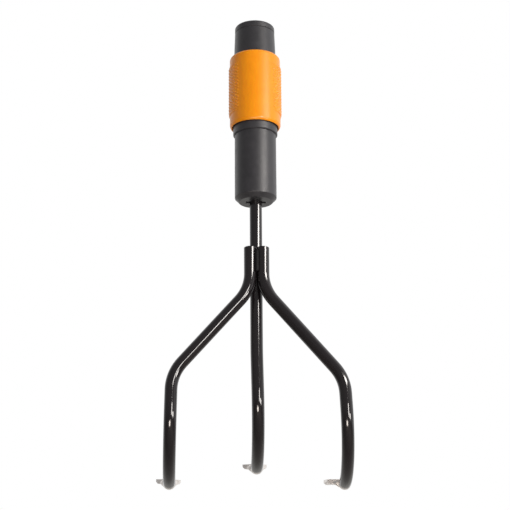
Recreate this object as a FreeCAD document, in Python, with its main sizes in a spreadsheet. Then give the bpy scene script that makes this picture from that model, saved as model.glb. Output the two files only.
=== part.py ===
import FreeCAD, Part
import math
import os
import re
import Sketcher

# Three-tine hand cultivator head with a quick-release socket.
# Millimetres. The origin is the centre of the socket's mouth, +Z runs up towards the handle, +X to the
# right and -Y to the front. A depth is measured down from the mouth, a drop down from the piece above,
# and a step or a wall outwards from the piece inside.

SIZES = {
    # Socket bore that takes the handle's stub
    "bore_radius": 10.5,
    "bore_depth": 95.0,
    "lead_chamfer": 0.4,
    # Tube of the socket body inside the collar and the sleeve
    "tube_wall": 1.9,
    "press_gap": 0.05,
    # Rim ring at the mouth, with the fine groove below it
    "rim_step": 0.9,
    "rim_height": 4.5,
    "rim_round": 1.5,
    "groove_chamfer": 0.35,
    "rim_spigot_length": 4.0,
    "rim_spigot_wall": 1.5,
    # Tapered collar between the rim ring and the sleeve, and its skirt inside the sleeve
    "collar_wall": 1.55,
    "collar_depth": 23.1,
    "skirt_length": 7.9,
    "snap_drop": 2.1,
    "snap_height": 0.35,
    "snap_width": 1.6,
    # Orange lock sleeve
    "sleeve_wall": 1.7,
    "sleeve_length": 50.6,
    "sleeve_round": 2.0,
    "sleeve_foot_width": 1.0,
    "sleeve_foot_height": 2.0,
    "sleeve_foot_round": 3.0,
    "sleeve_gap": 0.25,
    "sleeve_travel": 5.0,
    "stop_gap": 0.05,
    "lip_thickness": 2.0,
    "lip_gap": 0.3,
    "relief_length": 7.2,
    "relief_gap": 1.5,
    "cam_nose_length": 1.2,
    "cam_gap": 0.35,
    "cam_slope": 0.24,
    "opening_gap": 0.45,
    "opening_chamfer": 0.5,
    "pad_height": 0.6,
    "pad_shift": 1.55,
    "pad_top_inset": 7.4,
    "pad_low_inset": 8.1,
    "pad_angle": 116.0,
    # Guide ribs of the tube that stop the sleeve from turning
    "rib_width": 4.0,
    "rib_height": 1.0,
    "rib_length": 21.0,
    "rib_gap": 0.3,
    # Locking keys in the tube's windows
    "key_height": 4.6,
    "key_stem_width": 7.0,
    "key_heel_width": 9.2,
    "key_gap": 0.3,
    "key_side_gap": 0.2,
    "key_flush_gap": 0.1,
    "key_seat_wall": 0.9,
    "key_stop_gap": 0.05,
    "key_blank_angle": 50.0,
    # Rubber rings under the sleeve
    "upper_ring_inset": 1.6,
    "upper_ring_radius": 0.5,
    "lower_ring_inset": 5.7,
    "lower_ring_radius": 0.8,
    "ring_gap": 0.05,
    # Land, cylinder and foot of the socket body
    "land_step": 2.25,
    "land_hidden": 12.2,
    "land_shown": 5.4,
    "land_chamfer": 0.5,
    "socket_step": 1.25,
    "foot_chamfer_height": 2.8,
    "foot_chamfer_width": 2.7,
    "edge_round": 0.5,
    "floor_thickness": 17.8,
    "disc_step": 0.5,
    "disc_sink": 0.1,
    "disc_thickness": 2.0,
    "ledge_width": 0.7,
    "slot_length": 13.0,
    "slot_width": 3.5,
    "slot_height": 8.0,
    "shank_gap": 0.2,
    # Washer and nut on the shank's end, inside the socket
    "washer_gap": 0.5,
    "washer_thickness": 1.6,
    "nut_across": 13.0,
    "nut_height": 6.5,
    "thread_end_length": 1.4,
    "thread_end_chamfer": 0.9,
    "thread_end_gap": 1.4,
    # Flattened ears of the shank in the socket's slot
    "ear_end_gap": 0.3,
    "ear_side_gap": 0.25,
    "ear_height": 5.0,
    # Rods of the tines
    "rod_radius": 4.0,
    "weld_gap": 0.12,
    "side_top_drop": 33.4,
    "rod_end_chamfer": 0.4,
    "first_bend_drop": 27.7,
    "bend_radius": 27.0,
    "hook_radius": 42.0,
    # Each tine is bent by hand, so slopes, leans and leg lengths differ a little
    "left_spread_angle": 41.6,
    "left_spread": 53.4,
    "left_lean_angle": 1.1,
    "left_leg_length": 9.2,
    "left_tip_angle": 5.0,
    "right_spread_angle": 41.0,
    "right_spread": 54.4,
    "right_lean_angle": 2.7,
    "right_leg_length": 7.4,
    "right_tip_angle": 28.0,
    "centre_bend_drop": 35.0,
    "centre_bend_radius": 400.0,
    "centre_lean_angle": 1.15,
    "centre_leg_length": 20.5,
    "centre_tip_angle": 7.0,
    # Forged tips
    "tip_rise_angle": 8.0,
    "blade_half_width": 7.9,
    "blade_thickness": 2.8,
    "blade_raise": 1.3,
    "neck_length": 8.0,
    "blade_length": 14.0,
    "blade_edge_radius": 60.0,
    "nose_half_width": 1.8,
    "blade_bevel": 1.3,
    "root_half_width": 3.2,
    "root_length": 2.0,
    "spine_half_width": 5.6,
    "spine_half_height": 2.3,
    "spine_length": 4.6,
    "fade_half_width": 4.2,
    "fade_half_height": 1.25,
    "fade_length": 11.0,
    # Weld beads between the rods
    "bead_radius": 1.7,
    "bead_offset": 2.35,
    "bead_start": 2.0,
    "bead_length": 15.0,
    "bead_end_round": 1.5,
}

document = FreeCAD.newDocument("three_tine_cultivator")
sheet = document.addObject("Spreadsheet::Sheet", "sizes")
for row, (alias, value) in enumerate(SIZES.items(), start=1):
    sheet.set(f"A{row}", alias)
    sheet.set(f"B{row}", str(value))
    sheet.setAlias(f"B{row}", alias)
document.recompute()

sub_parts = []

# Two edges closer than this, in millimetres, are in the same place.
CLOSE = 1e-4


def bound(text):
    """An expression with the sheet's name put before each alias in it."""
    return re.sub(r"[a-z]\w*", lambda word: ("sizes." if word.group() in SIZES else "") + word.group(), text)


def number(owner, text):
    """What an expression is worth now, as a plain number."""
    found = owner.evalExpression(bound(text))
    return float(getattr(found, "Value", found))


def bind(owner, **expressions):
    """Ties properties of a feature to expressions of the sheet."""
    for name, text in expressions.items():
        owner.setExpression(name, bound(text))


def new_body(node):
    body = document.addObject("PartDesign::Body", node)
    body.Label = node
    sub_parts.append(body)
    return body


def origin_plane(body, role):
    return next(feature for feature in body.Origin.OriginFeatures if feature.Role == role)


def new_frame(body, name, carrier, across="0", back="0", up="0", turn=None):
    """Axes for sketches, moved and turned from the body's own axes or from another frame."""
    frame = body.newObject("PartDesign::CoordinateSystem", name)
    frame.AttachmentSupport = (origin_plane(body, carrier) if carrier == "XY_Plane" else carrier, [""])
    frame.MapMode = "ObjectXY"
    if turn:
        axis, angle = turn
        rotation = FreeCAD.Rotation(FreeCAD.Vector(*axis), number(frame, angle))
        frame.AttachmentOffset = FreeCAD.Placement(FreeCAD.Vector(), rotation)
        frame.setExpression("AttachmentOffset.Rotation.Angle", bound(angle))
    for letter, text in (("x", across), ("y", back), ("z", up)):
        frame.setExpression(f"AttachmentOffset.Base.{letter}", bound(text))
    document.recompute()
    return frame


def new_sketch(body, name, role, offset="0", frame=None):
    """A sketch on a plane of the body's axes or of a frame, moved along that plane's normal."""
    sketch = body.newObject("Sketcher::SketchObject", name)
    if frame is None:
        sketch.AttachmentSupport = (origin_plane(body, role), [""])
        sketch.MapMode = "FlatFace"
    else:
        sketch.AttachmentSupport = (frame, [""])
        sketch.MapMode = "Object" + role[:2]
    sketch.setExpression("AttachmentOffset.Base.z", bound(offset))
    return sketch


def pin_point(sketch, geometry, end, horizontal, vertical):
    """Holds one point of a sketch at two expressions, or on an axis where the expression is 0."""
    for kind, text, axis in (("DistanceX", horizontal, -2), ("DistanceY", vertical, -1)):
        if text == "0":
            sketch.addConstraint(Sketcher.Constraint("PointOnObject", geometry, end, axis))
        else:
            index = sketch.addConstraint(
                Sketcher.Constraint(kind, -1, 1, geometry, end, number(sketch, text))
            )
            sketch.setExpression(f"Constraints[{index}]", bound(text))


def pin_height(sketch, geometry, end, vertical):
    """Holds one point of a sketch at a height, and leaves it free to move sideways."""
    index = sketch.addConstraint(
        Sketcher.Constraint("DistanceY", -1, 1, geometry, end, number(sketch, vertical))
    )
    sketch.setExpression(f"Constraints[{index}]", bound(vertical))


def bulged_arc(start, end, radius):
    """An arc from start to end that bulges to the right of the way from one to the other."""
    chord = end - start
    half = chord.Length / 2
    rise = radius - math.sqrt(radius * radius - half * half)
    right = FreeCAD.Vector(chord.y, -chord.x, 0).normalize()
    return Part.Arc(start, (start + end) * 0.5 + right * rise, end)


def draw_outline(sketch, points, arcs=None):
    """A closed outline through points given as pairs of expressions. arcs gives the radius of a side."""
    arcs = arcs or {}
    corners = [FreeCAD.Vector(number(sketch, across), number(sketch, up), 0) for across, up in points]
    count = len(corners)
    first = sketch.GeometryCount
    ends = []
    for side in range(count):
        start = corners[side]
        end = corners[(side + 1) % count]
        if side in arcs:
            line = bulged_arc(start, end, number(sketch, arcs[side]))
        else:
            line = Part.LineSegment(start, end)
        geometry = sketch.addGeometry(line, False)
        near, far = [(sketch.getPoint(geometry, end) - start).Length for end in (1, 2)]
        ends.append((1, 2) if near < far else (2, 1))
    for side in range(count):
        after = (side + 1) % count
        sketch.addConstraint(
            Sketcher.Constraint("Coincident", first + side, ends[side][1], first + after, ends[after][0])
        )
    for side, (across, up) in enumerate(points):
        pin_point(sketch, first + side, ends[side][0], across, up)
    for side, radius in arcs.items():
        index = sketch.addConstraint(Sketcher.Constraint("Radius", first + side, number(sketch, radius)))
        sketch.setExpression(f"Constraints[{index}]", bound(radius))


def draw_circle(sketch, radius, across="0", up="0"):
    """A circle at a centre given by two expressions."""
    centre = FreeCAD.Vector(number(sketch, across), number(sketch, up), 0)
    up_axis = FreeCAD.Vector(0, 0, 1)
    geometry = sketch.addGeometry(Part.Circle(centre, up_axis, number(sketch, radius)), False)
    pin_point(sketch, geometry, 3, across, up)
    index = sketch.addConstraint(Sketcher.Constraint("Radius", geometry, number(sketch, radius)))
    sketch.setExpression(f"Constraints[{index}]", bound(radius))


def draw_box(sketch, left, right, low, high):
    draw_outline(sketch, [(left, low), (right, low), (right, high), (left, high)])


def revolve(body, name, points, arcs=None):
    """A solid turned about the Z axis from an outline of radius and height."""
    sketch = new_sketch(body, name + "_profile", "XZ_Plane")
    draw_outline(sketch, points, arcs)
    turned = body.newObject("PartDesign::Revolution", name)
    turned.Profile = sketch
    turned.ReferenceAxis = (sketch, ["V_Axis"])
    document.recompute()
    return turned


def extrude(body, kind, name, sketch, length=None, reverse=False, both=False):
    """A Pad or a Pocket of a sketch. Without a length it runs through the whole body."""
    feature = body.newObject("PartDesign::" + kind, name)
    feature.Profile = sketch
    feature.Reversed = reverse
    if both:
        feature.SideType = "Symmetric"
    if length is None:
        feature.Type = "ThroughAll"
    else:
        bind(feature, Length=length)
    before = body.Shape.Volume if body.Shape.Solids else 0.0
    document.recompute()
    gained = feature.Shape.Volume > before
    if gained != (kind == "Pad"):
        raise ValueError(f"{body.Label}: {name} did not change the solid the right way")
    return feature


def mirror(body, name, feature, role):
    """Repeats a feature on the other side of one of the body's origin planes."""
    mirrored = body.newObject("PartDesign::Mirrored", name)
    mirrored.Originals = [feature]
    mirrored.MirrorPlane = (origin_plane(body, role), [""])
    body.Tip = mirrored
    document.recompute()
    return mirrored


def ring_edges(owner, feature, *rings):
    """Names of the round edges about Z that have these radii and heights, as expressions."""
    wanted = [(number(owner, radius), number(owner, height)) for radius, height in rings]
    names = []
    for index, edge in enumerate(feature.Shape.Edges, start=1):
        if not isinstance(edge.Curve, Part.Circle):
            continue
        for radius, height in wanted:
            if math.isclose(edge.Curve.Radius, radius, abs_tol=CLOSE) and math.isclose(
                edge.Curve.Center.z, height, abs_tol=CLOSE
            ):
                names.append(f"Edge{index}")
    return names


def soften(body, kind, name, edges, size):
    """A Fillet or a Chamfer of edges of the body's last feature."""
    base = body.Tip
    feature = body.newObject("PartDesign::" + kind, name)
    feature.Base = (base, edges)
    bind(feature, **{"Radius" if kind == "Fillet" else "Size": size})
    document.recompute()
    return feature


# Heights and radii that several pieces share, as expressions of the sheet.
SPIGOT_END = "-(rim_height + rim_spigot_length)"
SPIGOT_RADIUS = "(bore_radius + rim_spigot_wall)"
TUBE_RADIUS = "(bore_radius + tube_wall)"
RIM_RADIUS = f"({TUBE_RADIUS} + rim_step)"
COLLAR_RADIUS = f"({TUBE_RADIUS} + collar_wall)"
LAND_RADIUS = f"({TUBE_RADIUS} + land_step)"
SOCKET_RADIUS = f"({TUBE_RADIUS} + socket_step)"
OPENING_RADIUS = f"({LAND_RADIUS} + opening_gap)"
SLEEVE_RADIUS = f"({OPENING_RADIUS} + sleeve_wall)"
SKIRT_END = "-(collar_depth + skirt_length)"
SLEEVE_TOP = "-collar_depth"
SLEEVE_END = "-(collar_depth + sleeve_length)"
LIP_TOP = "-(collar_depth + skirt_length + stop_gap)"
LIP_END = "-(collar_depth + skirt_length + stop_gap + lip_thickness)"
RIB_TOP = "-(collar_depth + skirt_length + lip_thickness + sleeve_travel + stop_gap + stop_gap)"
RIB_RADIUS = "(bore_radius + tube_wall + rib_height)"
RELIEF_END = "-(collar_depth + skirt_length + stop_gap + lip_thickness + relief_length)"
RELIEF_RADIUS = "(bore_radius + tube_wall + relief_gap)"
CAM_START = (
    "-(collar_depth + skirt_length + stop_gap + lip_thickness + relief_length + cam_nose_length)"
)
CAM_RADIUS = "(bore_radius + tube_wall + cam_gap)"
CAM_LENGTH = f"(({OPENING_RADIUS} - {CAM_RADIUS}) / cam_slope)"
CAM_END = f"({CAM_START} - {CAM_LENGTH})"
KEY_END = CAM_END
KEY_TOP = f"({CAM_END} + key_height)"
KEY_MIDDLE = f"({CAM_END} + key_height / 2)"
KEY_TRAVEL = "(cam_slope * sleeve_travel)"
KEY_SEAT = "(bore_radius + key_seat_wall)"
KEY_HEEL = f"({KEY_SEAT} + {KEY_TRAVEL} + key_stop_gap)"
LAND_TOP = f"({SLEEVE_END} + land_hidden)"
LAND_END = f"({SLEEVE_END} - land_shown)"
SNAP_HEIGHT = "-(collar_depth + snap_drop)"
UPPER_RING = f"({SKIRT_END} + upper_ring_inset)"
LOWER_RING = f"({SLEEVE_END} + lower_ring_inset)"
DISC_RADIUS = "(bore_radius - disc_step)"
DISC_TOP = "-(bore_depth + disc_sink)"
LEDGE = f"({DISC_TOP} - disc_thickness)"
NUT_ROOM = f"({DISC_RADIUS} - ledge_width)"
SHANK_TOP = f"({LEDGE} - thread_end_gap)"
NUT_BASE = f"({SHANK_TOP} - thread_end_length - nut_height)"
FLOOR_TOP = f"({NUT_BASE} - washer_thickness)"
SOCKET_END = f"({FLOOR_TOP} - floor_thickness)"
EAR_TOP = f"({SOCKET_END} + slot_height)"
SIDE_TOP = f"({SOCKET_END} - side_top_drop)"
FIRST_BEND = f"({SIDE_TOP} - first_bend_drop)"
NECK_X = "(rod_radius + weld_gap)"
NECK_Y = "-sqrt(pow(2 * rod_radius + weld_gap; 2) - pow(rod_radius + weld_gap; 2))"


def make_rim_ring():
    """Ring at the mouth. Its spigot sits inside the collar and its lower edge makes half the groove."""
    body = new_body("rim_ring")
    revolve(
        body,
        "ring",
        [
            ("bore_radius", SPIGOT_END),
            (SPIGOT_RADIUS, SPIGOT_END),
            (SPIGOT_RADIUS, "-rim_height"),
            (f"{RIM_RADIUS} - groove_chamfer", "-rim_height"),
            (RIM_RADIUS, "-(rim_height - groove_chamfer)"),
            (RIM_RADIUS, "-rim_round"),
            (f"{RIM_RADIUS} - rim_round", "0"),
            ("bore_radius + lead_chamfer", "0"),
            ("bore_radius", "-lead_chamfer"),
        ],
        arcs={5: "rim_round"},
    )
    return body


def make_mouth_collar():
    """Tapered collar that closes the sleeve in from above. It snaps over a bead on the tube."""
    body = new_body("mouth_collar")
    inner = f"({TUBE_RADIUS} + press_gap)"
    snap = f"({inner} + snap_height)"
    groove_radius = f"({COLLAR_RADIUS} + sleeve_gap - ring_gap - 2 * upper_ring_radius - ring_gap)"
    groove_low = f"({UPPER_RING} - upper_ring_radius - ring_gap)"
    groove_high = f"({UPPER_RING} + upper_ring_radius + ring_gap)"
    revolve(
        body,
        "collar",
        [
            (f"{SPIGOT_RADIUS} + press_gap", SPIGOT_END),
            (inner, SPIGOT_END),
            (inner, f"{SNAP_HEIGHT} + snap_width / 2"),
            (snap, SNAP_HEIGHT),
            (inner, f"{SNAP_HEIGHT} - snap_width / 2"),
            (inner, SKIRT_END),
            (COLLAR_RADIUS, SKIRT_END),
            (COLLAR_RADIUS, groove_low),
            (groove_radius, groove_low),
            (groove_radius, groove_high),
            (COLLAR_RADIUS, groove_high),
            (COLLAR_RADIUS, "-collar_depth"),
            (RIM_RADIUS, "-(rim_height + groove_chamfer)"),
            (f"{RIM_RADIUS} - groove_chamfer", "-rim_height"),
            (f"{SPIGOT_RADIUS} + press_gap", "-rim_height"),
        ],
    )
    return body


def make_socket_body():
    """Moulded socket: tube, land, cylinder, floor with the slot, guide ribs and key windows."""
    body = new_body("socket_body")
    groove_radius = f"({OPENING_RADIUS} - ring_gap - 2 * lower_ring_radius - ring_gap)"
    groove_low = f"({LOWER_RING} - lower_ring_radius - ring_gap)"
    groove_high = f"({LOWER_RING} + lower_ring_radius + ring_gap)"
    foot_top = f"({SOCKET_END} + foot_chamfer_height)"
    foot_radius = f"({SOCKET_RADIUS} - foot_chamfer_width)"
    revolve(
        body,
        "moulding",
        [
            ("bore_radius", SPIGOT_END),
            ("bore_radius", "-bore_depth"),
            (DISC_RADIUS, "-bore_depth"),
            (DISC_RADIUS, LEDGE),
            (NUT_ROOM, LEDGE),
            (NUT_ROOM, FLOOR_TOP),
            ("rod_radius + shank_gap", FLOOR_TOP),
            ("rod_radius + shank_gap", SOCKET_END),
            (foot_radius, SOCKET_END),
            (SOCKET_RADIUS, foot_top),
            (SOCKET_RADIUS, LAND_END),
            (f"{LAND_RADIUS} - land_chamfer", LAND_END),
            (LAND_RADIUS, f"{LAND_END} + land_chamfer"),
            (LAND_RADIUS, groove_low),
            (groove_radius, groove_low),
            (groove_radius, groove_high),
            (LAND_RADIUS, groove_high),
            (LAND_RADIUS, f"{LAND_TOP} - land_chamfer"),
            (f"{LAND_RADIUS} - land_chamfer", LAND_TOP),
            (TUBE_RADIUS, LAND_TOP),
            (TUBE_RADIUS, f"{SNAP_HEIGHT} - snap_width / 2"),
            (f"{TUBE_RADIUS} + snap_height", SNAP_HEIGHT),
            (TUBE_RADIUS, f"{SNAP_HEIGHT} + snap_width / 2"),
            (TUBE_RADIUS, SPIGOT_END),
        ],
    )
    edges = ring_edges(body, body.Tip, (SOCKET_RADIUS, foot_top), (foot_radius, SOCKET_END))
    soften(body, "Fillet", "foot_edges", edges, "edge_round")

    slot = new_sketch(body, "slot_outline", "XY_Plane", SOCKET_END)
    draw_box(slot, "-slot_length / 2", "slot_length / 2", "-slot_width / 2", "slot_width / 2")
    extrude(body, "Pocket", "slot", slot, "slot_height", reverse=True)

    rib = new_sketch(body, "rib_outline", "XZ_Plane", RIB_RADIUS)
    draw_box(rib, "-rib_width / 2", "rib_width / 2", f"{RIB_TOP} - rib_length", RIB_TOP)
    front_rib = extrude(body, "Pad", "front_rib", rib, "rib_height + tube_wall / 2", reverse=True)
    mirror(body, "back_rib", front_rib, "XZ_Plane")

    seat = new_sketch(body, "key_seat_outline", "YZ_Plane", KEY_SEAT)
    draw_box(
        seat,
        "-(key_heel_width / 2 + key_side_gap)",
        "key_heel_width / 2 + key_side_gap",
        f"{KEY_END} - key_side_gap",
        f"{KEY_TOP} + key_side_gap",
    )
    right_seat = extrude(body, "Pocket", "right_key_seat", seat, "tube_wall", reverse=True)
    mirror(body, "left_key_seat", right_seat, "YZ_Plane")

    window = new_sketch(body, "key_window_outline", "YZ_Plane")
    draw_box(
        window,
        "-(key_stem_width / 2 + key_side_gap)",
        "key_stem_width / 2 + key_side_gap",
        f"{KEY_END} - key_side_gap",
        f"{KEY_TOP} + key_side_gap",
    )
    extrude(body, "Pocket", "key_windows", window, both=True)
    return body


def make_lock_sleeve():
    """Orange sleeve that slides down over the land. Its cone presses the two keys inwards."""
    body = new_body("lock_sleeve")
    revolve(
        body,
        "sleeve",
        [
            (f"{COLLAR_RADIUS} + sleeve_gap", SLEEVE_TOP),
            (f"{COLLAR_RADIUS} + sleeve_gap", LIP_TOP),
            (f"{TUBE_RADIUS} + lip_gap", LIP_TOP),
            (f"{TUBE_RADIUS} + lip_gap", LIP_END),
            (RELIEF_RADIUS, LIP_END),
            (RELIEF_RADIUS, RELIEF_END),
            (CAM_RADIUS, CAM_START),
            (OPENING_RADIUS, CAM_END),
            (OPENING_RADIUS, f"{SLEEVE_END} + opening_chamfer"),
            (f"{OPENING_RADIUS} + opening_chamfer", SLEEVE_END),
            (f"{SLEEVE_RADIUS} - sleeve_foot_width", SLEEVE_END),
            (SLEEVE_RADIUS, f"{SLEEVE_END} + sleeve_foot_height"),
            (SLEEVE_RADIUS, f"{SLEEVE_TOP} - sleeve_round"),
            (f"{SLEEVE_RADIUS} - sleeve_round", SLEEVE_TOP),
        ],
        arcs={10: "sleeve_foot_round", 12: "sleeve_round"},
    )

    notch = new_sketch(body, "rib_notch_outline", "XY_Plane", f"{LIP_END} - rib_gap")
    draw_box(
        notch,
        "-(rib_width / 2 + rib_gap)",
        "rib_width / 2 + rib_gap",
        f"-({RIB_RADIUS} + rib_gap)",
        f"{RIB_RADIUS} + rib_gap",
    )
    extrude(body, "Pocket", "rib_notches", notch, f"{CAM_LENGTH} + relief_length")

    # The pad's own axis lies off the sleeve's, so its sides run out smoothly into the sleeve.
    pad_axes = new_frame(body, "pad_axes", "XY_Plane", across="pad_shift")
    pad = new_sketch(body, "pad_outline", "XZ_Plane", frame=pad_axes)
    pad_low = f"({SLEEVE_END} + pad_low_inset)"
    pad_high = f"({SLEEVE_TOP} - pad_top_inset)"
    pad_radius = f"({SLEEVE_RADIUS} + pad_height - pad_shift)"
    pad_root = f"({pad_radius} - pad_height)"
    draw_outline(
        pad,
        [
            (f"{pad_root} - pad_height", pad_low),
            (pad_root, pad_low),
            (pad_radius, f"{pad_low} + pad_height"),
            (pad_radius, f"{pad_high} - pad_height"),
            (pad_root, pad_high),
            (f"{pad_root} - pad_height", pad_high),
        ],
    )
    right_pad = body.newObject("PartDesign::Revolution", "right_pad")
    right_pad.Profile = pad
    right_pad.ReferenceAxis = (pad, ["V_Axis"])
    right_pad.Midplane = True
    bind(right_pad, Angle="pad_angle")
    document.recompute()
    mirror(body, "left_pad", right_pad, "YZ_Plane")
    return body


def make_locking_key(node, side):
    """A steel key in a window of the tube. Its cone face follows the cone inside the sleeve."""
    body = new_body(node)
    inner = "(bore_radius + key_flush_gap)"
    outer_low = f"({OPENING_RADIUS} - key_gap)"
    outer_high = f"({outer_low} - cam_slope * key_height)"
    blank = new_sketch(body, "blank_profile", "XZ_Plane")
    profile = [(inner, KEY_END), (outer_low, KEY_END), (outer_high, KEY_TOP), (inner, KEY_TOP)]
    draw_outline(blank, [(f"{side} * {across}", up) for across, up in profile])
    turned = body.newObject("PartDesign::Revolution", "blank")
    turned.Profile = blank
    turned.ReferenceAxis = (blank, ["V_Axis"])
    turned.Midplane = True
    bind(turned, Angle="key_blank_angle")
    document.recompute()

    shoulder = f"{side} * {KEY_HEEL}"
    trim = new_sketch(body, "side_outlines", "XY_Plane", KEY_MIDDLE)
    for hand in (1, -1):
        stem = f"{hand} * key_stem_width / 2"
        heel = f"{hand} * key_heel_width / 2"
        clear = f"{hand} * key_heel_width"
        draw_outline(
            trim,
            [
                (f"{side} * bore_radius / 2", stem),
                (shoulder, stem),
                (shoulder, heel),
                (f"{side} * {SLEEVE_RADIUS}", heel),
                (f"{side} * {SLEEVE_RADIUS}", clear),
                (f"{side} * bore_radius / 2", clear),
            ],
        )
    extrude(body, "Pocket", "sides", trim, both=True)
    return body


def make_rubber_ring(node, centre_radius, height, wire_radius):
    """A rubber ring of round section in a groove under the sleeve."""
    ring = document.addObject("Part::Torus", node)
    ring.Label = node
    bind(ring, Radius1=centre_radius, Radius2=wire_radius)
    ring.setExpression("Placement.Base.z", bound(height))
    sub_parts.append(ring)
    return ring


def make_depth_disc():
    """Disc that closes the bore's bottom over the nut. It is pressed into a step just under the bore."""
    body = new_body("depth_disc")
    edge = f"({DISC_RADIUS} - press_gap)"
    revolve(
        body,
        "disc",
        [
            ("0", LEDGE),
            (edge, LEDGE),
            (edge, f"{DISC_TOP} - groove_chamfer"),
            (f"{edge} - groove_chamfer", DISC_TOP),
            ("0", DISC_TOP),
        ],
    )
    return body


def make_shank_washer():
    """Steel washer between the nut and the socket's floor."""
    body = new_body("shank_washer")
    sketch = new_sketch(body, "washer_outline", "XY_Plane", FLOOR_TOP)
    draw_circle(sketch, f"{NUT_ROOM} - washer_gap")
    draw_circle(sketch, "rod_radius + shank_gap")
    extrude(body, "Pad", "washer", sketch, "washer_thickness")
    return body


def make_shank_nut():
    """Hexagon nut that pulls the shank's ears up into the slot."""
    body = new_body("shank_nut")
    sketch = new_sketch(body, "nut_outline", "XY_Plane", NUT_BASE)
    corners = [60 * corner for corner in range(6)]
    reach = "nut_across / sqrt(3)"
    draw_outline(sketch, [(f"{reach} * cos({turn})", f"{reach} * sin({turn})") for turn in corners])
    draw_circle(sketch, "rod_radius + press_gap")
    extrude(body, "Pad", "nut", sketch, "nut_height")
    return body


def draw_ellipse(sketch, across, up, half_width, half_height):
    """An ellipse with its long axis level, at a centre given by two expressions."""
    centre = FreeCAD.Vector(number(sketch, across), number(sketch, up), 0)
    wide = number(sketch, half_width)
    high = number(sketch, half_height)
    ellipse = Part.Ellipse(
        centre + FreeCAD.Vector(wide, 0, 0), centre + FreeCAD.Vector(0, high, 0), centre
    )
    geometry = sketch.addGeometry(ellipse, False)
    sketch.exposeInternalGeometry(geometry)
    pin_point(sketch, geometry, 3, across, up)
    sketch.addConstraint(Sketcher.Constraint("Horizontal", geometry + 1))
    for line, text in ((geometry + 1, f"2 * {half_width}"), (geometry + 2, f"2 * {half_height}")):
        index = sketch.addConstraint(Sketcher.Constraint("Distance", line, number(sketch, text)))
        sketch.setExpression(f"Constraints[{index}]", bound(text))


def sweep_rod(body, name, path, across="0", back="0", start_height="0", frame=None):
    """A round rod swept from a circle in a level plane down along a path."""
    section = new_sketch(body, name + "_section", "XY_Plane", start_height, frame)
    draw_circle(section, "rod_radius", across, back)
    rod = body.newObject("PartDesign::AdditivePipe", name)
    rod.Profile = section
    rod.Spine = (path, [f"Edge{index + 1}" for index in range(path.GeometryCount)])
    document.recompute()
    return rod


def path_line(sketch, start, end, vertical):
    line = sketch.addGeometry(Part.LineSegment(start, end), False)
    if vertical:
        sketch.addConstraint(Sketcher.Constraint("Vertical", line))
    return line


def path_arc(sketch, start, end, radius_text, right):
    """An arc of the path that bulges to the right or the left of the way down."""
    radius = number(sketch, radius_text)
    if right:
        arc = bulged_arc(start, end, radius)
    else:
        arc = bulged_arc(end, start, radius)
    geometry = sketch.addGeometry(arc, False)
    index = sketch.addConstraint(Sketcher.Constraint("Radius", geometry, radius))
    sketch.setExpression(f"Constraints[{index}]", bound(radius_text))
    return geometry


def nearest_end(sketch, geometry, point):
    return min((1, 2), key=lambda end: (sketch.getPoint(geometry, end) - point).Length)


def join_smoothly(sketch, first, second, point):
    """Joins two pieces of a path end to end with one common tangent."""
    sketch.addConstraint(
        Sketcher.Constraint(
            "Tangent",
            first,
            nearest_end(sketch, first, point),
            second,
            nearest_end(sketch, second, point),
        )
    )


def hooked_end(body, frame, hand):
    """The lower end of a tine: straight down along its frame, a quarter circle to the back, the tip."""
    leg_end = f"-{hand}_leg_length"
    reach = f"-({hand}_leg_length + hook_radius)"
    path = new_sketch(body, "hook_path", "YZ_Plane", frame=frame)
    points = [
        FreeCAD.Vector(0, 0, 0),
        FreeCAD.Vector(0, number(path, leg_end), 0),
        FreeCAD.Vector(number(path, "hook_radius"), number(path, reach), 0),
    ]
    leg = path_line(path, points[0], points[1], vertical=True)
    hook = path_arc(path, points[1], points[2], "hook_radius", right=True)
    join_smoothly(path, leg, hook, points[1])
    pin_point(path, leg, 1, "0", "0")
    pin_point(path, hook, nearest_end(path, hook, points[2]), "hook_radius", reach)
    sweep_rod(body, "hook", path, frame=frame)
    sideways = ((0, 0, 1), f"{hand}_tip_angle")
    rod_end_axes = new_frame(body, "rod_end_axes", frame, "0", "hook_radius", reach, turn=sideways)
    tip_axes = new_frame(body, "tip_axes", rod_end_axes, turn=((1, 0, 0), "tip_rise_angle"))
    forge_tip(body, frame, reach, tip_axes)


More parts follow.
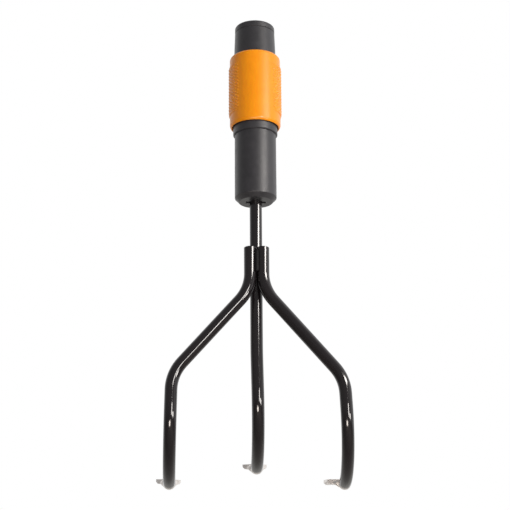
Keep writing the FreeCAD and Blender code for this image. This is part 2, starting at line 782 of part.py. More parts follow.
def forge_tip(body, frame, reach, tip_axes):
    """Forged end of a tine: a spine that fades out of the rod and a leaf-shaped blade on it."""
    rod_end = new_sketch(body, "rod_end_section", "XZ_Plane", "-hook_radius", frame)
    draw_circle(rod_end, "rod_radius", "0", reach)
    sections = [rod_end]
    for name, height in (("spine", "blade_raise / 2"), ("fade", "blade_raise")):
        section = new_sketch(body, name + "_section", "XZ_Plane", f"-{name}_length", tip_axes)
        draw_ellipse(section, "0", height, f"{name}_half_width", f"{name}_half_height")
        sections.append(section)
    spine = body.newObject("PartDesign::AdditiveLoft", "forged_spine")
    spine.Profile = sections[0]
    spine.Sections = sections[1:]
    document.recompute()

    low = "(blade_raise - blade_thickness / 2)"
    plan = new_sketch(body, "blade_outline", "XY_Plane", low, tip_axes)
    right_side = [
        ("root_half_width", "root_length"),
        ("blade_half_width", "neck_length"),
        ("nose_half_width", "(neck_length + blade_length)"),
    ]
    left_side = [(f"-{half}", along) for half, along in reversed(right_side)]
    draw_outline(
        plan, right_side + left_side, arcs={1: "blade_edge_radius", 3: "blade_edge_radius"}
    )
    extrude(body, "Pad", "blade", plan, "blade_thickness")

    low_level = number(body, low)
    edge_radius = number(body, "blade_edge_radius")
    to_tip = tip_axes.Placement.inverse()
    edges = []
    for index, edge in enumerate(body.Tip.Shape.Edges, start=1):
        if isinstance(edge.Curve, Part.Circle) and math.isclose(
            edge.Curve.Radius, edge_radius, abs_tol=CLOSE
        ):
            if math.isclose(to_tip.multVec(edge.Curve.Center).z, low_level, abs_tol=CLOSE):
                edges.append(f"Edge{index}")
    soften(body, "Chamfer", "blade_bevels", edges, "blade_bevel")


def make_centre_tine():
    """Centre tine and shank in one rod, with the ears in the slot and the threaded end in the nut."""
    body = new_body("centre_tine")
    path = new_sketch(body, "shank_path", "XZ_Plane")
    bend_top = f"({FIRST_BEND} - centre_bend_drop)"
    swing = "(centre_bend_radius * (1 - cos(centre_lean_angle)))"
    bend_low = f"({bend_top} - centre_bend_radius * sin(centre_lean_angle))"
    points = [
        FreeCAD.Vector(0, number(path, SHANK_TOP), 0),
        FreeCAD.Vector(0, number(path, bend_top), 0),
        FreeCAD.Vector(number(path, swing), number(path, bend_low), 0),
    ]
    shank = path_line(path, points[0], points[1], vertical=True)
    bend = path_arc(path, points[1], points[2], "centre_bend_radius", right=True)
    join_smoothly(path, shank, bend, points[1])
    pin_point(path, shank, 1, "0", SHANK_TOP)
    pin_point(path, bend, nearest_end(path, bend, points[2]), swing, bend_low)
    sweep_rod(body, "rod", path, start_height=SHANK_TOP)
    edges = ring_edges(body, body.Tip, ("rod_radius", SHANK_TOP))
    soften(body, "Chamfer", "thread_end", edges, "thread_end_chamfer")
    ears = new_sketch(body, "ear_outline", "XY_Plane", f"{EAR_TOP} - ear_height")
    ear_end = "(slot_length / 2 - ear_end_gap)"
    ear_side = "(slot_width / 2 - ear_side_gap)"
    draw_box(ears, f"-{ear_end}", ear_end, f"-{ear_side}", ear_side)
    extrude(body, "Pad", "ears", ears, "ear_height")
    lean = ((0, 1, 0), "-centre_lean_angle")
    leg_axes = new_frame(body, "leg_axes", "XY_Plane", swing, "0", bend_low, turn=lean)
    hooked_end(body, leg_axes, "centre")
    return body


def make_side_tine(node, hand, side):
    """A side tine: cut square at the top, bent out, bent back down, then hooked to the back."""
    body = new_body(node)
    spread = f"{hand}_spread"
    slope = f"{hand}_spread_angle"
    lean = f"{hand}_lean_angle"
    first_setback = f"(bend_radius * tan({slope} / 2))"
    second_setback = f"(bend_radius * tan(({slope} - {lean}) / 2))"
    corner = f"({FIRST_BEND} - ({spread} - {NECK_X}) / tan({slope}))"
    leg_x = f"({side} * ({spread} + {second_setback} * sin({lean})))"
    leg_top = f"({corner} - {second_setback} * cos({lean}))"
    places = [
        (f"{side} * {NECK_X}", SIDE_TOP),
        (f"{side} * {NECK_X}", f"{FIRST_BEND} + {first_setback}"),
        (
            f"{side} * ({NECK_X} + {first_setback} * sin({slope}))",
            f"{FIRST_BEND} - {first_setback} * cos({slope})",
        ),
        (
            f"{side} * ({spread} - {second_setback} * sin({slope}))",
            f"{corner} + {second_setback} * cos({slope})",
        ),
        (leg_x, leg_top),
    ]
    path = new_sketch(body, "spread_path", "XZ_Plane", f"-({NECK_Y})")
    points = [FreeCAD.Vector(number(path, across), number(path, up), 0) for across, up in places]
    outward = side > 0
    pieces = [
        path_line(path, points[0], points[1], vertical=True),
        path_arc(path, points[1], points[2], "bend_radius", right=outward),
        path_line(path, points[2], points[3], vertical=False),
        path_arc(path, points[3], points[4], "bend_radius", right=not outward),
    ]
    for index in range(len(pieces) - 1):
        join_smoothly(path, pieces[index], pieces[index + 1], points[index + 1])
    pin_point(path, pieces[0], 1, *places[0])
    pin_height(path, pieces[0], 2, places[1][1])
    pin_height(path, pieces[2], 1, places[2][1])
    pin_point(path, pieces[3], nearest_end(path, pieces[3], points[4]), *places[4])

    sweep_rod(body, "upper_rod", path, f"{side} * {NECK_X}", NECK_Y, SIDE_TOP)
    edges = ring_edges(body, body.Tip, ("rod_radius", SIDE_TOP))
    soften(body, "Chamfer", "cut_end", edges, "rod_end_chamfer")
    outward_lean = ((0, 1, 0), f"{-side} * {lean}")
    leg_axes = new_frame(body, "leg_axes", "XY_Plane", leg_x, NECK_Y, leg_top, turn=outward_lean)
    hooked_end(body, leg_axes, hand)
    return body


def make_weld_bead(node, across, back, rods):
    """A bead in the valley between two rods, cut back to their surfaces."""
    blank = document.addObject("Part::Cylinder", node + "_blank")
    bind(blank, Radius="bead_radius", Height="bead_length")
    blank.setExpression("Placement.Base.x", bound(across))
    blank.setExpression("Placement.Base.y", bound(back))
    blank.setExpression("Placement.Base.z", bound(f"{SIDE_TOP} - bead_start - bead_length"))
    document.recompute()
    rounded = document.addObject("Part::Fillet", node + "_rounded")
    rounded.Base = blank
    ends = [
        index for index, edge in enumerate(blank.Shape.Edges, start=1) if isinstance(edge.Curve, Part.Circle)
    ]
    round_size = number(blank, "bead_end_round")
    rounded.Edges = [(index, round_size, round_size) for index in ends]
    bead = rounded
    for rod in rods:
        cut = document.addObject("Part::Cut", f"{node}_on_{rod.Label}")
        cut.Base = bead
        cut.Tool = rod
        bead = cut
    bead.Label = node
    document.recompute()
    sub_parts.append(bead)
    return bead


make_rim_ring()
make_mouth_collar()
make_socket_body()
make_lock_sleeve()
make_locking_key("locking_key_right", 1)
make_locking_key("locking_key_left", -1)
make_rubber_ring(
    "upper_rubber_ring",
    f"{COLLAR_RADIUS} + sleeve_gap - ring_gap - upper_ring_radius",
    UPPER_RING,
    "upper_ring_radius",
)
make_rubber_ring(
    "lower_rubber_ring",
    f"{OPENING_RADIUS} - ring_gap - lower_ring_radius",
    LOWER_RING,
    "lower_ring_radius",
)
make_depth_disc()
make_shank_washer()
make_shank_nut()
centre_tine = make_centre_tine()
right_tine = make_side_tine("right_tine", "right", 1)
left_tine = make_side_tine("left_tine", "left", -1)

# The side beads lie outside the line between a side rod and the shank, halfway along it.
neck_distance = "(2 * rod_radius + weld_gap)"
valley_x = f"({NECK_X} / 2 - bead_offset * ({NECK_Y}) / {neck_distance})"
valley_y = f"({NECK_Y}) / 2 + bead_offset * {NECK_X} / {neck_distance}"
make_weld_bead("front_weld", "0", f"{NECK_Y} - bead_offset", [left_tine, right_tine])
make_weld_bead("right_weld", valley_x, valley_y, [right_tine, centre_tine])
make_weld_bead("left_weld", f"-{valley_x}", valley_y, [left_tine, centre_tine])

document.recompute()
for item in document.Objects:
    if "Invalid" in item.State or "Error" in item.State:
        raise ValueError(f"{item.Label}: {item.State}")
for item in sub_parts:
    shape = item.Shape
    if shape.isNull() or not shape.isValid() or not shape.Solids:
        raise ValueError(f"{item.Label}: no valid solid")

os.makedirs("parts", exist_ok=True)
for item in sub_parts:
    shape = item.Shape
    shape.exportStep(f"parts/{item.Label}.step")
    box = shape.BoundBox
    corners = [round(edge, 2) for edge in (box.XMin, box.YMin, box.ZMin, box.XMax, box.YMax, box.ZMax)]
    print(item.Label, "solids", len(shape.Solids), "volume", round(shape.Volume, 1), "box", corners)
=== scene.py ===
# %% [markdown]
# # A three-tine cultivator head
#
# The head hangs from its handle socket, and the photograph looks up at it from a little below
# and to the left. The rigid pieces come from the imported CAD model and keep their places. This
# script gives them their finishes, adds the moulded grip nubs that the CAD leaves out, and
# builds the camera, the lamps and a floor.
#
# The first cell loads the model. Lengths are metres, +Z runs up the socket, -Y faces the camera.

import math

import bmesh
import bpy
from mathutils import Matrix, Vector


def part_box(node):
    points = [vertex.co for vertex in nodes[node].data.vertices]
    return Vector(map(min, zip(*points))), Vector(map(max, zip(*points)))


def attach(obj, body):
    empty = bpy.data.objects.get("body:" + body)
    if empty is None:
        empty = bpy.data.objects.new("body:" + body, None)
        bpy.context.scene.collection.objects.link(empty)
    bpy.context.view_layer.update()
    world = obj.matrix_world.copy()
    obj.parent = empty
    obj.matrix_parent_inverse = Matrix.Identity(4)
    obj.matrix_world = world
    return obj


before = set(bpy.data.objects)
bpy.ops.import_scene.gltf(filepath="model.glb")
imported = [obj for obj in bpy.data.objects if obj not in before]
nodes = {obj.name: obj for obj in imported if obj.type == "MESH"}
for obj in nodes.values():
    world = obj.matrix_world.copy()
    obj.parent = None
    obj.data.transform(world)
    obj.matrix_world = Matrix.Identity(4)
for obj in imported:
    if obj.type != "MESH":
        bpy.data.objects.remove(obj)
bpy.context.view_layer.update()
MM = 0.001
print("pieces from the CAD model:", len(nodes))

# %% [markdown]
# ## Camera
#
# A perspective photograph fixes more than a direction. The ellipses of the socket's edges give
# how far below the head the camera is (18.5 degrees), the offset of the two tines from the shank
# gives the turn to the left (2.5 degrees), and how fast the rods seem to widen towards the lens
# gives the distance (966 mm). The camera is built from those numbers: its back axis first, then
# right and up, then a small roll.

# %% Camera
IMAGE_PIXELS = 510
FOCAL_PIXELS = 1500.0
SENSOR_IN_MM = 36.0
AZIMUTH = math.radians(-2.5)
ELEVATION = math.radians(-18.5)
ROLL = math.radians(-0.36)
DISTANCE = 0.9657
AIM = Vector((0, 0, -0.1619))
AIM_SHIFT_PIXELS = 1.1
NEAR_LIMIT = 0.05

back = Vector((
    math.sin(AZIMUTH) * math.cos(ELEVATION),
    -math.cos(AZIMUTH) * math.cos(ELEVATION),
    math.sin(ELEVATION),
))
right = Vector((math.cos(AZIMUTH), math.sin(AZIMUTH), 0))
up = back.cross(right)
camera_turn = Matrix((right, up, back)).transposed() @ Matrix.Rotation(ROLL, 3, "Z")
aim_shift = AIM_SHIFT_PIXELS / FOCAL_PIXELS * DISTANCE
camera_place = AIM - camera_turn @ Vector((aim_shift, 0, -DISTANCE))

lens = bpy.data.cameras.new("camera")
lens.sensor_width = SENSOR_IN_MM
lens.lens = SENSOR_IN_MM * FOCAL_PIXELS / IMAGE_PIXELS
lens.clip_start = NEAR_LIMIT
camera = bpy.data.objects.new("camera", lens)
camera.matrix_world = Matrix.Translation(camera_place) @ camera_turn.to_4x4()
bpy.context.scene.collection.objects.link(camera)
bpy.context.scene.camera = camera
print("camera at mm:", [round(v / MM) for v in camera_place], "lens mm:", round(lens.lens, 1))

# %% [markdown]
# ## Small helpers for materials
#
# Colours are written as the hex values that a paint chart or a colour picker gives, and one
# function turns them to the linear values that the renderer works in. Node graphs stay readable
# when one function adds a node, sets its values and makes its links in a single call.

# %% Colour helpers
NOISE_LOW = 0.3
NOISE_HIGH = 0.7


def linear(code):
    """Linear RGBA of an sRGB hex colour such as #F28A12."""
    shares = [int(code[i:i + 2], 16) / 255 for i in (1, 3, 5)]
    light = [s / 12.92 if s <= 0.04045 else ((s + 0.055) / 1.055) ** 2.4 for s in shares]
    return (*light, 1.0)


def grey(share):
    """An opaque grey of a linear share, for ramps that carry a number and not a colour."""
    return (share, share, share, 1.0)


def over_noise(low, high):
    """Ramp stops that spread two colours over the range where most values of a noise lie."""
    return [(NOISE_LOW, low), (NOISE_HIGH, high)]


print("orange in linear light:", [round(v, 3) for v in linear("#F28A12")])

# %% Node and material helpers
def set_inputs(tree, node, inputs):
    """Sets inputs by name, or by place as i0, i1: a socket is linked, the rest are values."""
    for name, value in inputs.items():
        key = int(name[1:]) if name[1:].isdigit() else name.replace("_", " ")
        if isinstance(value, bpy.types.NodeSocket):
            tree.links.new(value, node.inputs[key])
        else:
            node.inputs[key].default_value = value


def add(tree, kind, settings=None, stops=(), **inputs):
    """Adds a node with its own settings, its ramp's stops (two or more) and its inputs."""
    node = tree.nodes.new(kind)
    for name, value in (settings or {}).items():
        setattr(node, name, value)
    for _ in stops[2:]:
        node.color_ramp.elements.new(0.5)
    for index, (position, colour) in enumerate(stops):
        node.color_ramp.elements[index].position = position
        node.color_ramp.elements[index].color = colour
    set_inputs(tree, node, inputs)
    return node


def new_material(name):
    """An empty material with its Principled shader wired to the output."""
    material = bpy.data.materials.new(name)
    material.use_nodes = True
    tree = material.node_tree
    tree.nodes.clear()
    shader = add(tree, "ShaderNodeBsdfPrincipled")
    add(tree, "ShaderNodeOutputMaterial", Surface=shader.outputs["BSDF"])
    return material, tree, shader


def dress(material, *names):
    """Puts a material on CAD nodes in place of the plain one."""
    for name in names:
        slots = nodes[name].data.materials
        slots.clear()
        slots.append(material)


print("pieces to dress:", sorted(nodes))

# %% [markdown]
# ## Black glass-filled nylon
#
# The socket, the collar and the rim ring are injection moulded in nylon with short glass fibres.
# The fibres lie just under the skin and leave it satin, a little mottled, and never quite black.
# So the base is a dark grey, the roughness wanders over a few millimetres, and a fine bump
# stands for the spark-eroded mould texture. That grain is about 0.3 mm on a real part and is
# drawn at 0.35 mm, which is as fine as shows.

# %% Black glass-filled nylon
GRAIN = 0.35 * MM
MOTTLE = 5.0 * MM
NYLON_GRAIN_DEPTH = 0.05 * MM

nylon, tree, shader = new_material("glass_filled_nylon_moulded")
place_in_part = add(tree, "ShaderNodeTexCoord").outputs["Object"]
mottle = add(
    tree, "ShaderNodeTexNoise",
    Vector=place_in_part, Scale=1 / MOTTLE, Detail=4.0, Roughness=0.6,
).outputs["Fac"]
grain = add(
    tree, "ShaderNodeTexNoise",
    Vector=place_in_part, Scale=1 / GRAIN, Detail=2.0, Roughness=0.5,
).outputs["Fac"]
skin = add(
    tree, "ShaderNodeValToRGB",
    stops=over_noise(linear("#222225"), linear("#29282C")), Fac=mottle,
)
satin = add(
    tree, "ShaderNodeValToRGB", stops=over_noise(grey(0.37), grey(0.45)), Fac=mottle
)
relief = add(
    tree, "ShaderNodeBump", Height=grain, Strength=0.25, Distance=NYLON_GRAIN_DEPTH
)
set_inputs(tree, shader, {
    "Base Color": skin.outputs["Color"],
    "Roughness": satin.outputs["Color"],
    "IOR": 1.53,
    "Normal": relief.outputs["Normal"],
})
dress(nylon, "socket_body", "mouth_collar", "rim_ring", "depth_disc")
print("nylon grain per metre:", round(1 / GRAIN))

# %% [markdown]
# ## Orange polypropylene
#
# The lock sleeve is moulded in coloured polypropylene. The pigment is opaque, the skin is softer
# to the eye than the nylon's, and light that enters comes out a little further on, which keeps
# the shaded side warm. A little subsurface scattering gives that. The mould was polished more
# finely than the nylon's, so the roughness is lower and the grain shallower.

# %% Orange polypropylene
ORANGE_GRAIN_DEPTH = 0.04 * MM
LIGHT_TRAVEL = 0.8 * MM

orange, tree, shader = new_material("polypropylene_orange_moulded")
place_in_part = add(tree, "ShaderNodeTexCoord").outputs["Object"]
mottle = add(
    tree, "ShaderNodeTexNoise",
    Vector=place_in_part, Scale=1 / MOTTLE, Detail=3.0, Roughness=0.5,
).outputs["Fac"]
grain = add(
    tree, "ShaderNodeTexNoise",
    Vector=place_in_part, Scale=1 / GRAIN, Detail=2.0, Roughness=0.5,
).outputs["Fac"]
skin = add(
    tree, "ShaderNodeValToRGB",
    stops=over_noise(linear("#D37F00"), linear("#D88400")), Fac=mottle,
)
satin = add(
    tree, "ShaderNodeValToRGB", stops=over_noise(grey(0.3), grey(0.36)), Fac=mottle
)
relief = add(
    tree, "ShaderNodeBump", Height=grain, Strength=0.2, Distance=ORANGE_GRAIN_DEPTH
)
set_inputs(tree, shader, {
    "Base Color": skin.outputs["Color"],
    "Roughness": satin.outputs["Color"],
    "Specular IOR Level": 0.4,
    "IOR": 1.49,
    "Subsurface Weight": 0.12,
    "Subsurface Radius": (1.0, 0.35, 0.08),
    "Subsurface Scale": LIGHT_TRAVEL,
    "Normal": relief.outputs["Normal"],
})
dress(orange, "lock_sleeve")
sleeve_low, sleeve_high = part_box("lock_sleeve")
print("sleeve from z mm:", round(sleeve_low.z / MM, 1), "to", round(sleeve_high.z / MM, 1))

# %% [markdown]
# ## Grip nubs
#
# Each pad carries a field of small round nubs in a diamond pattern, so that a wet glove can turn
# or pull the sleeve. A bump map would leave the outline smooth, and the nubs show on the outline,
# so they are real domes. One dome is a few rings of points on the pad's cylinder, with its foot
# sunk a little under the skin. A staggered grid gives the diamond pattern, and its top and low
# ends are measured from the sleeve's, so that it follows the sleeve. All of the domes become one
# mesh that rides on the sleeve.

# %% One grip nub
PAD_RADIUS = 15.85 * MM
PAD_SHIFT = 1.55 * MM
NUB_RADIUS = 0.8 * MM
NUB_HEIGHT = 0.24 * MM
NUB_SINK = 0.06 * MM
NUB_SIDES = 10
NUB_RINGS = 4


def add_nub(mesh, side, angle, height):
    """A dome on the pad of one side, 1 or -1, at an angle about the pad's own axis."""
    outward = Vector((math.cos(angle), math.sin(angle), 0))
    across = Vector((-math.sin(angle), math.cos(angle), 0))
    centre = outward * (PAD_RADIUS - NUB_SINK) + Vector((side * PAD_SHIFT, 0, height))
    rings = []
    for ring in range(NUB_RINGS):
        lean = ring / NUB_RINGS * math.pi / 2
        reach = NUB_RADIUS * math.cos(lean)
        rise = (NUB_HEIGHT + NUB_SINK) * math.sin(lean)
        points = []
        for corner in range(NUB_SIDES):
            way = 2 * math.pi * corner / NUB_SIDES
            offset = across * (reach * math.cos(way)) + Vector((0, 0, reach * math.sin(way)))
            points.append(mesh.verts.new(centre + offset + outward * rise))
        rings.append(points)
    top = mesh.verts.new(centre + outward * (NUB_HEIGHT + NUB_SINK))
    for corner in range(NUB_SIDES):
        after = (corner + 1) % NUB_SIDES
        for low, high in zip(rings, rings[1:]):
            mesh.faces.new((low[corner], low[after], high[after], high[corner]))
        mesh.faces.new((rings[-1][corner], rings[-1][after], top))


print("points in a nub:", NUB_SIDES * NUB_RINGS + 1)

# %% The two fields of nubs
ROW_PITCH = 2.24 * MM
COLUMN_PITCH = 1.9 * MM
TOP_INSET = 8.8 * MM
LOW_INSET = 9.5 * MM
FIELD_HALF_ANGLE = math.radians(49.0)

nubs = bmesh.new()
columns = int(FIELD_HALF_ANGLE * PAD_RADIUS / COLUMN_PITCH)
top_row = sleeve_high.z - TOP_INSET
low_limit = sleeve_low.z + LOW_INSET
nub_count = 0
for side, middle in ((1, 0.0), (-1, math.pi)):
    for column in range(-columns, columns + 1):
        angle = middle + column * COLUMN_PITCH / PAD_RADIUS
        height = top_row - (ROW_PITCH / 2 if column % 2 else 0)
        while height >= low_limit:
            add_nub(nubs, side, angle, height)
            height -= ROW_PITCH
            nub_count += 1
for face in nubs.faces:
    face.smooth = True
nub_mesh = bpy.data.meshes.new("grip_nubs")
nubs.to_mesh(nub_mesh)
nubs.free()
nub_mesh.materials.append(orange)
grip_nubs = bpy.data.objects.new("grip_nubs", nub_mesh)
bpy.context.scene.collection.objects.link(grip_nubs)
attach(grip_nubs, "sleeve")
print("nubs:", nub_count, "faces:", len(nub_mesh.polygons), "top z mm:", round(top_row / MM, 1))

# %% [markdown]
# ## Gloss black enamel on steel rod, bare at the tips
#
# The rods are dipped or sprayed with gloss black enamel and baked. A baked film is smooth but
# not flat: it has a very faint orange peel some 3 mm across, which breaks a straight reflection
# a little. The forged tips are ground bare after painting, and the forge leaves marks and
# shallow dents a millimetre or so apart. One material does both: a mask from the position along
# Y says where the paint thins out, over 4.5 mm with a slightly ragged edge, and mixes two
# shaders.

# %% Enamel film
PEEL = 3.5 * MM
PEEL_DEPTH = 0.02 * MM
ENAMEL_IOR = 1.5


def coat(tree, shader, place):
    """Turns a shader into gloss black enamel."""
    peel = add(
        tree, "ShaderNodeTexNoise", Vector=place, Scale=1 / PEEL, Detail=1.0, Roughness=0.4
    ).outputs["Fac"]
    film = add(
        tree, "ShaderNodeValToRGB", stops=over_noise(grey(0.08), grey(0.11)), Fac=peel
    )
    ripple = add(tree, "ShaderNodeBump", Height=peel, Strength=0.05, Distance=PEEL_DEPTH)
    set_inputs(tree, shader, {
        "Base Color": linear("#171416"),
        "Roughness": film.outputs["Color"],
        "IOR": ENAMEL_IOR,
        "Normal": ripple.outputs["Normal"],
    })


print("waves of orange peel per metre:", round(1 / PEEL))

# %% Forged steel
FORGE_MARKS = 1.4 * MM
FORGE_MARK_DEPTH = 0.03 * MM


def forge(tree, shader, marks):
    """Turns a shader into bare forged steel, from the noise that its marks follow."""
    tone = add(
        tree, "ShaderNodeValToRGB",
        stops=over_noise(linear("#D6D1CE"), linear("#E8E4E1")), Fac=marks,
    )
    worn = add(
        tree, "ShaderNodeValToRGB", stops=over_noise(grey(0.56), grey(0.44)), Fac=marks
    )
    dents = add(tree, "ShaderNodeBump", Height=marks, Strength=0.1, Distance=FORGE_MARK_DEPTH)
    set_inputs(tree, shader, {
        "Metallic": 1.0,
        "Base Color": tone.outputs["Color"],
        "Roughness": worn.outputs["Color"],
        "Normal": dents.outputs["Normal"],
    })


print("forge marks per metre:", round(1 / FORGE_MARKS))

# %% The three rods
PAINT_EDGE_RAG = 0.5 * MM
PAINT_FADE = 4.5 * MM
SIDE_BARE_FROM = 30.0 * MM
CENTRE_BARE_FROM = 37.0 * MM


def painted_rod(name, bare_from):
    """Enamel that gives way to forged steel. bare_from is the Y where the paint thins out."""
    material, tree, paint = new_material(name)
    output = paint.outputs["BSDF"].links[0].to_node
    place = add(tree, "ShaderNodeTexCoord").outputs["Object"]
    coat(tree, paint, place)
    marks = add(
        tree, "ShaderNodeTexNoise",
        Vector=place, Scale=1 / FORGE_MARKS, Detail=3.0, Roughness=0.5,
    ).outputs["Fac"]
    steel = add(tree, "ShaderNodeBsdfPrincipled")
    forge(tree, steel, marks)
    along = add(tree, "ShaderNodeSeparateXYZ", Vector=place).outputs["Y"]
    ragged = add(
        tree, "ShaderNodeMath", {"operation": "MULTIPLY_ADD"},
        i0=marks, i1=2 * PAINT_EDGE_RAG, i2=along,
    ).outputs["Value"]
    bare = add(
        tree, "ShaderNodeMapRange",
        Value=ragged, From_Min=bare_from, From_Max=bare_from + PAINT_FADE,
    ).outputs["Result"]
    both = add(
        tree, "ShaderNodeMixShader",
        i0=bare, i1=paint.outputs["BSDF"], i2=steel.outputs["BSDF"],
    )
    set_inputs(tree, output, {"Surface": both.outputs["Shader"]})
    return material


dress(painted_rod("enamel_gloss_black_side_rods", SIDE_BARE_FROM), "left_tine", "right_tine")
dress(painted_rod("enamel_gloss_black_centre_rod", CENTRE_BARE_FROM), "centre_tine")
print("paint thins out from Y mm:", SIDE_BARE_FROM / MM, CENTRE_BARE_FROM / MM)

# %% [markdown]
# ## Painted weld beads
#
# A bead laid by hand is a row of overlapping puddles, and the enamel softens them. The puddles
# are about 1.3 mm apart along Z, so a wave texture of that pitch drives a bump. Over the puddles
# the film is rougher than on the smooth rod. Its base is also darker and shines less than the
# rod's enamel: that is painted shade, for the seams between the rods.

# %% Painted weld beads
PUDDLE = 1.3 * MM
PUDDLE_DEPTH = 0.1 * MM
BEAD_LENGTH = 15 * MM
BAND_AT_SCALE_ONE = 0.314

beads, tree, shader = new_material("weld_enamel_painted_seam_shade")
place_in_part = add(tree, "ShaderNodeTexCoord").outputs["Object"]
puddles = add(
    tree, "ShaderNodeTexWave", {"bands_direction": "Z", "wave_profile": "SIN"},
    Vector=place_in_part, Scale=BAND_AT_SCALE_ONE / PUDDLE,
    Distortion=1.2, Detail=1.0, Detail_Scale=0.5,
).outputs["Fac"]
film = add(
    tree, "ShaderNodeValToRGB", stops=[(0.0, grey(0.6)), (1.0, grey(0.5))], Fac=puddles
)
relief = add(tree, "ShaderNodeBump", Height=puddles, Strength=0.3, Distance=PUDDLE_DEPTH)
set_inputs(tree, shader, {
    # A darker base and a weaker shine than the rod's enamel: painted shade in the seams between
    # the rods.
    "Base Color": linear("#0F0E10"),
    "Roughness": film.outputs["Color"],
    "Specular IOR Level": 0.12,
    "IOR": ENAMEL_IOR,
    "Normal": relief.outputs["Normal"],
})
dress(beads, "front_weld", "right_weld", "left_weld")
print("puddles on a bead:", round(BEAD_LENGTH / PUDDLE))

# %% [markdown]
# ## Zinc plated steel
#
# The locking keys, the washer and the nut are zinc plated, which leaves a bluish bright metal
# with small cloudy patches. Only the keys can be seen, deep in the mouth.

# %% Zinc plated steel
CLOUD = 2.5 * MM

zinc, tree, shader = new_material("steel_zinc_plated")
place_in_part = add(tree, "ShaderNodeTexCoord").outputs["Object"]
clouds = add(
    tree, "ShaderNodeTexNoise",
    Vector=place_in_part, Scale=1 / CLOUD, Detail=4.0, Roughness=0.6,
).outputs["Fac"]
tone = add(
    tree, "ShaderNodeValToRGB",
    stops=over_noise(linear("#A9AEB4"), linear("#C6CACE")), Fac=clouds,
)
worn = add(
    tree, "ShaderNodeValToRGB", stops=over_noise(grey(0.38), grey(0.26)), Fac=clouds
)
set_inputs(tree, shader, {
    "Metallic": 1.0,
    "Base Color": tone.outputs["Color"],
    "Roughness": worn.outputs["Color"],
})
dress(zinc, "locking_key_right", "locking_key_left", "shank_washer", "shank_nut")
print("zinc clouds per metre:", round(1 / CLOUD))

# %% [markdown]
# ## Nitrile rubber
#
# The two rings under the sleeve are nitrile rubber, pressed in a polished mould: dark grey,
# dull, with a faint bloom in patches of the same size as the zinc's clouds.

# %% Nitrile rubber
rubber, tree, shader = new_material("nitrile_rubber_moulded")
place_in_part = add(tree, "ShaderNodeTexCoord").outputs["Object"]
bloom = add(
    tree, "ShaderNodeTexNoise",
    Vector=place_in_part, Scale=1 / CLOUD, Detail=3.0, Roughness=0.6,
).outputs["Fac"]
tone = add(
    tree, "ShaderNodeValToRGB",
    stops=over_noise(linear("#1E1E1F"), linear("#2A2A2B")), Fac=bloom,
)
set_inputs(tree, shader, {
    "Base Color": tone.outputs["Color"],
    "Roughness": 0.65,
    "IOR": 1.52,
})
dress(rubber, "upper_rubber_ring", "lower_rubber_ring")
print("materials:", sorted(m.name for m in bpy.data.materials if m.users))

# %% [markdown]
# ## Floor
#
# The head hangs above a pale floor that catches its soft shadow. The camera looks up, so it
# never sees the floor, but the undersides of the tines do: their gloss fades to a warm light
# grey towards the bottom. The floor is paper, near white behind the head, which those undersides
# mirror. In front of the head its colour is painted grey: painted shade, for the front of the
# floor lying in shade.

# %% Floor
FLOOR_HEIGHT = -0.62
FLOOR_HALF = 4.0
SHADE_FROM = -0.1
SHADE_TO = 0.5
FIBRES = 2.5 * MM
FIBRE_SHARE = 0.03

bpy.ops.mesh.primitive_plane_add(size=2 * FLOOR_HALF, location=(0, 0, FLOOR_HEIGHT))
floor = bpy.context.object
floor.name = "floor"
paper, tree, shader = new_material("paper_floor_painted_front_shade")
place_on_floor = add(tree, "ShaderNodeTexCoord").outputs["Object"]
fibres = add(
    tree, "ShaderNodeTexNoise",
    Vector=place_on_floor, Scale=1 / FIBRES, Detail=2.0, Roughness=0.5,
).outputs["Fac"]
depth = add(tree, "ShaderNodeSeparateXYZ", Vector=place_on_floor).outputs["Y"]
share = add(
    tree, "ShaderNodeMapRange", Value=depth, From_Min=SHADE_FROM, From_Max=SHADE_TO
).outputs["Result"]
fibres_and_painted_shade = add(
    tree, "ShaderNodeMath", {"operation": "MULTIPLY_ADD"}, i0=fibres, i1=FIBRE_SHARE, i2=share
).outputs["Value"]
# Grey in front to near white behind: painted shade on the front of the floor, plus the paper's
# fibres.
tone = add(
    tree, "ShaderNodeValToRGB",
    stops=[(0.0, linear("#77736F")), (0.3, linear("#A9A5A0")), (1.0, linear("#F2F0EC"))],
    Fac=fibres_and_painted_shade,
)
set_inputs(tree, shader, {"Base Color": tone.outputs["Color"], "Roughness": 0.9})
floor.data.materials.append(paper)

# %% [markdown]
# ## Studio light
#
# Gloss black rods are mirrors, so the photograph shows where the lamps are. The white line down
# the shank and the necks, and the soft band on the socket, need a wide low strip to the right of
# the camera and above the head: the key box. The line down the left slope needs an upright strip
# between the camera and the key box: the slope box. The side box makes the upper spark on each
# hook, and the low box, under the camera, the lower one. Each box is placed by two directions
# from the part of the head that mirrors it, and looks at it. A box is only as bright as a line
# near white needs, because a brighter one gives the line ragged edges.

# %% How a soft box is placed
def towards(azimuth_degrees, elevation_degrees):
    """Unit direction from the head. Azimuth runs from the camera's side (-Y) towards +X."""
    turn = math.radians(azimuth_degrees)
    lift = math.radians(elevation_degrees)
    return Vector((
        math.sin(turn) * math.cos(lift),
        -math.cos(turn) * math.cos(lift),
        math.sin(lift),
    ))


def add_box(name, target, start, end, thickness, radiance, colour):
    """A soft box with its long middle line between two points and its face to the target."""
    along = end - start
    middle = (start + end) / 2
    away = middle - target
    normal = (away - along * (away.dot(along) / along.length_squared)).normalized()
    side = normal.cross(along.normalized())
    lamp = bpy.data.lights.new(name, "AREA")
    lamp.shape = "RECTANGLE"
    lamp.size = along.length
    lamp.size_y = thickness
    lamp.energy = radiance * math.pi * along.length * thickness
    lamp.color = linear(colour)[:3]
    holder = bpy.data.objects.new(name, lamp)
    turn = Matrix((along.normalized(), side, normal)).transposed()
    holder.matrix_world = Matrix.Translation(middle) @ turn.to_4x4()
    holder.visible_camera = False
    bpy.context.scene.collection.objects.link(holder)


print("straight ahead is", tuple(towards(0, 0)))

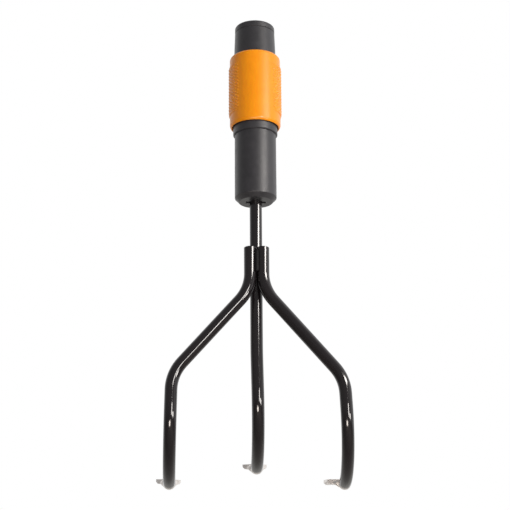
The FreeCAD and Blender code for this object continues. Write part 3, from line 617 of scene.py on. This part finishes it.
# %% Lamps
JUNCTION = Vector((0, -0.007, -0.18))
SLOPE = Vector((-0.025, -0.007, -0.215))
HOOKS = Vector((0, 0.01, -0.277))
WHITE_CLOTH = "#FFFAF5"
WARM_CLOTH = "#FFF4EA"

# name, target, distance, directions of the two ends, thickness, radiance, colour
BOXES = (
    ("key_box", JUNCTION, 1.2, (31, 16), (60, 23.5), 0.12, 32.0, WHITE_CLOTH),
    ("slope_box", SLOPE, 1.6, (28, 9.5), (24, -8), 0.25, 26.0, WHITE_CLOTH),
    ("side_box", HOOKS, 0.9, (46, -6), (46, 1), 0.3, 24.0, WHITE_CLOTH),
    ("low_box", HOOKS, 0.9, (-7, -15), (-7, -38), 0.34, 24.0, WARM_CLOTH),
)
for name, target, distance, first, last, thickness, radiance, colour in BOXES:
    start = target + towards(*first) * distance
    end = target + towards(*last) * distance
    add_box(name, target, start, end, thickness, radiance, colour)

# %% [markdown]
# ## World
#
# Behind the head is a white sweep, and the camera sees plain white there. Light Path's Is Camera
# Ray gives that without more light on the head. For every other ray the room is a map of
# directions: white behind and to the right, and dim in front and to the left, where the dark
# half of the studio is, most of all below eye level. Gloss black shows that dark half, and its
# edges pick up the white.

# %% World
LIT_WAY = (0.4, 0.92, 0)
DIM_UP_TO = -0.75
LIT_FROM = 0.35
LOW_UP_TO = -0.15
HIGH_FROM = 0.3

world = bpy.data.worlds.new("studio")
bpy.context.scene.world = world
world.use_nodes = True
tree = world.node_tree
tree.nodes.clear()
direction = add(tree, "ShaderNodeTexCoord").outputs["Generated"]
height = add(tree, "ShaderNodeSeparateXYZ", Vector=direction).outputs["Z"]
along_lit_way = add(
    tree, "ShaderNodeVectorMath", {"operation": "DOT_PRODUCT"}, i0=direction, i1=LIT_WAY
).outputs["Value"]
behind = add(
    tree, "ShaderNodeMapRange", {"interpolation_type": "SMOOTHSTEP"},
    Value=along_lit_way, From_Min=DIM_UP_TO, From_Max=LIT_FROM,
).outputs["Result"]
above = add(
    tree, "ShaderNodeMapRange", {"interpolation_type": "SMOOTHSTEP"},
    Value=height, From_Min=LOW_UP_TO, From_Max=HIGH_FROM,
).outputs["Result"]
low_room = add(
    tree, "ShaderNodeValToRGB",
    stops=[(0.0, grey(0.24)), (0.5, grey(0.55)), (1.0, grey(1.1))], Fac=behind,
).outputs["Color"]
high_room = add(
    tree, "ShaderNodeValToRGB",
    stops=[(0.0, grey(0.28)), (0.5, grey(0.5)), (1.0, grey(1.1))], Fac=behind,
).outputs["Color"]
print("studio is dim up to", DIM_UP_TO, "and white from", LIT_FROM, "along", LIT_WAY)

# %% [markdown]
# A colour mix has its factor at input 0, its two colours at inputs 6 and 7, and its result at
# output 2. The other places are for numbers and vectors.

# %% Room and white sweep
room = add(
    tree, "ShaderNodeMix", {"data_type": "RGBA"}, i0=above, i6=low_room, i7=high_room
).outputs[2]
studio = add(tree, "ShaderNodeBackground", Color=room, Strength=1.0)
sweep = add(tree, "ShaderNodeBackground", Color=grey(1.0), Strength=1.0)
seen = add(tree, "ShaderNodeLightPath").outputs["Is Camera Ray"]
mix = add(
    tree, "ShaderNodeMixShader",
    i0=seen, i1=studio.outputs["Background"], i2=sweep.outputs["Background"],
)
add(tree, "ShaderNodeOutputWorld", Surface=mix.outputs["Shader"])
bpy.context.scene.view_settings.view_transform = "Standard"
print("world nodes:", len(tree.nodes))
